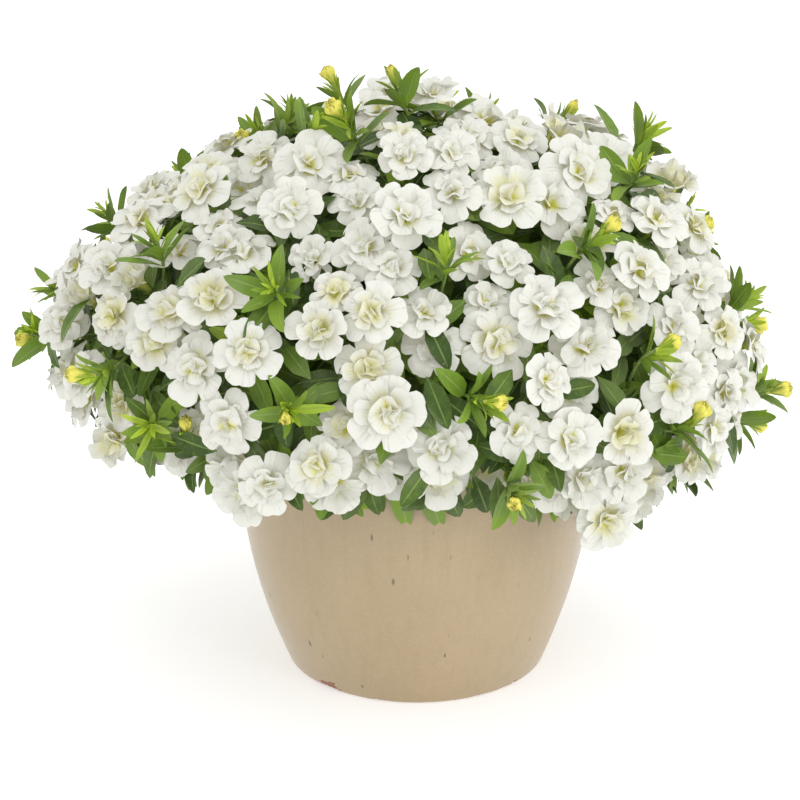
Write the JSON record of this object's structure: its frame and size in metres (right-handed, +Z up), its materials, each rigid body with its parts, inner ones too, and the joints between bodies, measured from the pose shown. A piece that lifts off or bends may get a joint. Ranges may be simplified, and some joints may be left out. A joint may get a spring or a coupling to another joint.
{
  "type": "calibrachoa in a pot",
  "caption": "Mounded double-flowered calibrachoa with white blooms and leafy shoots, growing in a tapered glazed stoneware pot.",
  "frame": {"origin": "middle of the flat underside of the pot, on the ground the pot stands on", "axes": "+X to the right of the pictured side, +Y away from the pictured side into the picture, +Z up along the pot's axis"},
  "size_m": [0.4077, 0.3606, 0.3389],
  "materials": {
    "stoneware": "satin beige glaze over stoneware",
    "soil": "moist peaty potting soil",
    "bloom": "soft white petals, yellow-green throats and matt green leaves"
  },
  "bodies": {
    "root": {"pot": "stoneware", "potting_soil": "soil", "flowering_stem_01": "bloom", "flowering_stem_02": "bloom", "flowering_stem_03": "bloom", "flowering_stem_04": "bloom", "flowering_stem_05": "bloom", "flowering_stem_06": "bloom", "flowering_stem_07": "bloom", "flowering_stem_08": "bloom", "flowering_stem_09": "bloom", "flowering_stem_10": "bloom", "flowering_stem_11": "bloom", "flowering_stem_12": "bloom", "flowering_stem_13": "bloom", "flowering_stem_14": "bloom", "flowering_stem_15": "bloom", "flowering_stem_16": "bloom", "flowering_stem_17": "bloom", "flowering_stem_18": "bloom", "flowering_stem_19": "bloom", "flowering_stem_20": "bloom", "flowering_stem_21": "bloom", "flowering_stem_22": "bloom", "flowering_stem_23": "bloom", "flowering_stem_24": "bloom", "flowering_stem_25": "bloom", "flowering_stem_26": "bloom", "flowering_stem_27": "bloom", "flowering_stem_28": "bloom", "flowering_stem_29": "bloom", "flowering_stem_30": "bloom"}
  },
  "joints": []
}
